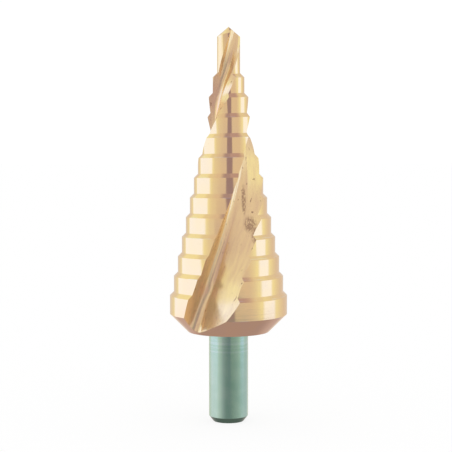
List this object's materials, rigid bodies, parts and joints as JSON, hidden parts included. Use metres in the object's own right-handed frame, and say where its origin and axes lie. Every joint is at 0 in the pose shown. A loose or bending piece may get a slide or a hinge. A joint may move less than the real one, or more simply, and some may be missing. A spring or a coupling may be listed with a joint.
{
  "type": "step drill",
  "caption": "Stepped cone drill with a short twist pilot, helical chip flutes and a plain round shank, for opening holes in sheet metal to even sizes.",
  "frame": {"origin": "centre of the flat end of the shank, which the drill stands on", "axes": "+Z along the drill's axis from the shank towards the point; the lips of the point face -Y and +Y"},
  "size_m": [0.0298, 0.0294, 0.1],
  "materials": {
    "ground_steel": "thin gold coloured hard coating over ground steel on the stepped body, bare satin steel on the shank"
  },
  "bodies": {
    "root": {"step_drill": "ground_steel"}
  },
  "joints": []
}
